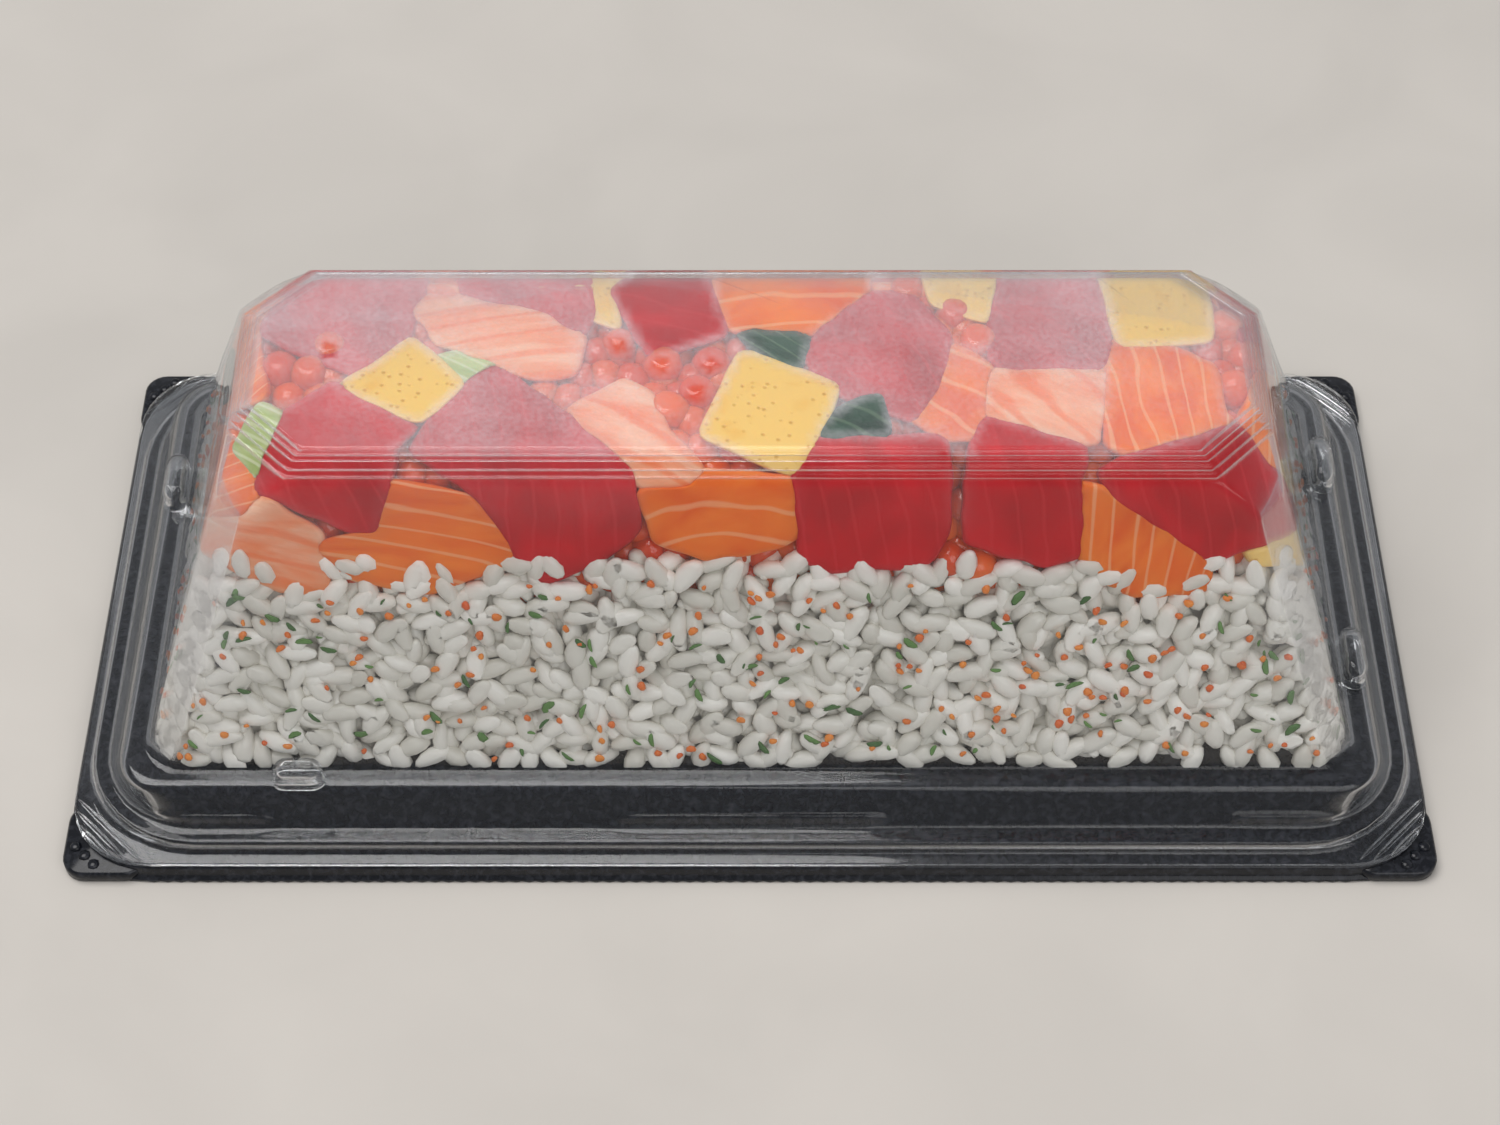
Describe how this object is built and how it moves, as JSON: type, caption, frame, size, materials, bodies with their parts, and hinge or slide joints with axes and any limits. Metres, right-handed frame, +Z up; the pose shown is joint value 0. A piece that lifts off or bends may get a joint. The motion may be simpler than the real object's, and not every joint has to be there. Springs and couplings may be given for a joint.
{
  "type": "boxed sushi cake",
  "caption": "Long block of sushi rice topped with cut raw fish, egg, shrimp and roe, shut in a black tray under a tapered clear lid.",
  "frame": {"origin": "centre of the tray's footprint, on the surface that it stands on", "axes": "+X along the cake's length, +Y to the back, +Z up"},
  "size_m": [0.2164, 0.1048, 0.0646],
  "materials": {
    "tray_black": "glossy black thermoformed sheet",
    "lid_clear": "thin clear thermoformed plastic sheet",
    "rice": "moist cooked rice grains",
    "tuna": "wet raw tuna",
    "salmon": "wet raw salmon with pale fat lines",
    "shrimp": "cooked shrimp, white with orange bands",
    "egg": "finely pored sweet omelette",
    "cucumber": "wet cut cucumber",
    "leaf": "dark green leaf",
    "roe": "translucent salmon roe"
  },
  "bodies": {
    "root": {"tray": "tray_black", "lid": "lid_clear", "rice": "rice", "roe_middle": "roe", "roe_back": "roe", "roe_right": "roe", "roe_front": "roe", "roe_left": "roe", "tamago_middle": "egg", "leaf_middle": "leaf", "leaf_front": "leaf", "tuna_left": "tuna", "tamago_left": "egg", "tuna_left_middle": "tuna", "tuna_front_middle": "tuna", "tuna_middle": "tuna", "tuna_front_right": "tuna", "tuna_right": "tuna", "tuna_back_centre": "tuna", "tuna_back_right": "tuna", "tamago_back_right": "egg", "shrimp_middle": "shrimp", "shrimp_right": "shrimp", "salmon_right": "salmon", "salmon_pale": "salmon", "salmon_back_centre": "salmon", "tamago_back_middle": "egg", "shrimp_back_left": "shrimp", "tuna_back_middle": "tuna", "tamago_back_left": "egg", "cucumber_middle": "cucumber", "cucumber_left": "cucumber", "tuna_back_left": "tuna", "salmon_front_left": "salmon", "salmon_front_middle": "salmon", "salmon_front_right": "salmon", "shrimp_front_left": "shrimp", "tamago_right_end": "egg", "salmon_right_end": "salmon", "tuna_corner": "tuna", "salmon_left_end": "salmon", "leaf_left_end": "leaf", "salmon_back_left": "salmon", "rear_tuna_a": "tuna", "rear_salmon_a": "salmon", "rear_tamago_a": "egg", "rear_shrimp": "shrimp", "rear_tuna_b": "tuna", "rear_salmon_b": "salmon", "rear_tamago_b": "egg", "rear_tuna_c": "tuna"}
  },
  "joints": []
}
